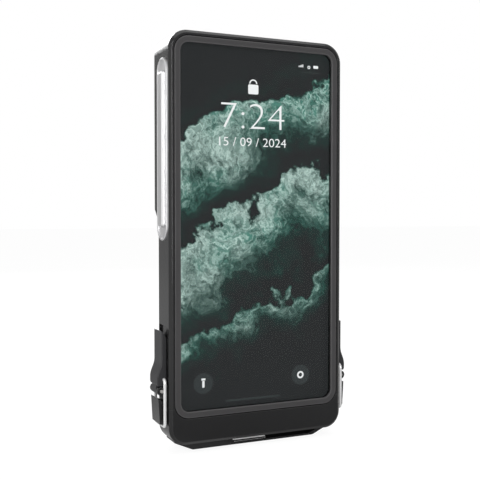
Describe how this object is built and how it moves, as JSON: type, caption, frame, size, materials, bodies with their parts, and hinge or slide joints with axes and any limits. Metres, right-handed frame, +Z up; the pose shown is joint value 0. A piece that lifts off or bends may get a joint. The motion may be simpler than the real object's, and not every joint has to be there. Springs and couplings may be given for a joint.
{
  "type": "waterproof phone case",
  "caption": "Upright waterproof phone case with a framed touch window, a sealed end cap held by side latches, a key bar and a mounting foot.",
  "frame": {"origin": "middle of the case's width and depth, on the underside of the mounting foot", "axes": "+Z up along the case, +X across the window, the window faces -Y"},
  "size_m": [0.0932, 0.0218, 0.1823],
  "materials": {
    "shell": "satin dark grey polycarbonate",
    "bezel": "matt grey moulding",
    "window": "clear thin window film",
    "lens": "clear pane",
    "ring": "satin black ring",
    "seal": "black rubber",
    "cushion": "dark grey rubber",
    "display": "lit display panel",
    "key_metal": "bright satin metal",
    "steel": "bright steel",
    "wire": "polished wire",
    "lever": "satin grey moulding"
  },
  "bodies": {
    "case": {"housing_shell": "shell", "front_bezel": "bezel", "touch_window": "window", "window_gasket": "seal", "screen_panel": "display", "back_pad": "cushion", "camera_window": "lens", "camera_gasket": "seal", "camera_ring": "ring", "key_plate_left": "key_metal", "key_membrane_left": "seal", "key_plate_right": "key_metal", "key_membrane_right": "seal", "end_cap": "shell", "cap_gasket": "seal", "cap_pad": "cushion", "mount_foot": "shell", "tripod_bush": "steel", "foot_screws": "steel", "pivot_pin_left": "steel", "pivot_pin_right": "steel"},
    "push_bar": {"push_bar": "key_metal"},
    "power_button": {"power_button": "key_metal"},
    "lever_left": {"latch_lever_left": "lever"},
    "bail_left": {"wire_bail_left": "wire"},
    "lever_right": {"latch_lever_right": "lever"},
    "bail_right": {"wire_bail_right": "wire"}
  },
  "joints": [
    {"name": "lever_left_hinge", "type": "hinge", "parent": "case", "child": "lever_left", "pos_m": [-0.04465, -0.00195, 0.0274], "axis": [0, -1, 0], "range_deg": [0, 110]},
    {"name": "bail_left_hinge", "type": "hinge", "parent": "lever_left", "child": "bail_left", "pos_m": [-0.0436, -0.00195, 0.0325], "axis": [0, -1, 0], "range_deg": [-110, 0]},
    {"name": "lever_right_hinge", "type": "hinge", "parent": "case", "child": "lever_right", "pos_m": [0.04465, -0.00195, 0.0274], "axis": [0, 1, 0], "range_deg": [0, 110]},
    {"name": "bail_right_hinge", "type": "hinge", "parent": "lever_right", "child": "bail_right", "pos_m": [0.0436, -0.00195, 0.0325], "axis": [0, 1, 0], "range_deg": [-110, 0]},
    {"name": "push_bar_press", "type": "slide", "parent": "case", "child": "push_bar", "axis": [1, 0, 0], "range_m": [0, 0.0006], "stiffness_N_per_m": 1500, "springref_m": -0.001},
    {"name": "power_button_press", "type": "slide", "parent": "case", "child": "power_button", "axis": [-1, 0, 0], "range_m": [0, 0.0006], "stiffness_N_per_m": 1000, "springref_m": -0.001}
  ],
  "couplings": [
    {"joint": "bail_left_hinge", "follows": "lever_left_hinge", "ratio": -1},
    {"joint": "bail_right_hinge", "follows": "lever_right_hinge", "ratio": -1}
  ]
}
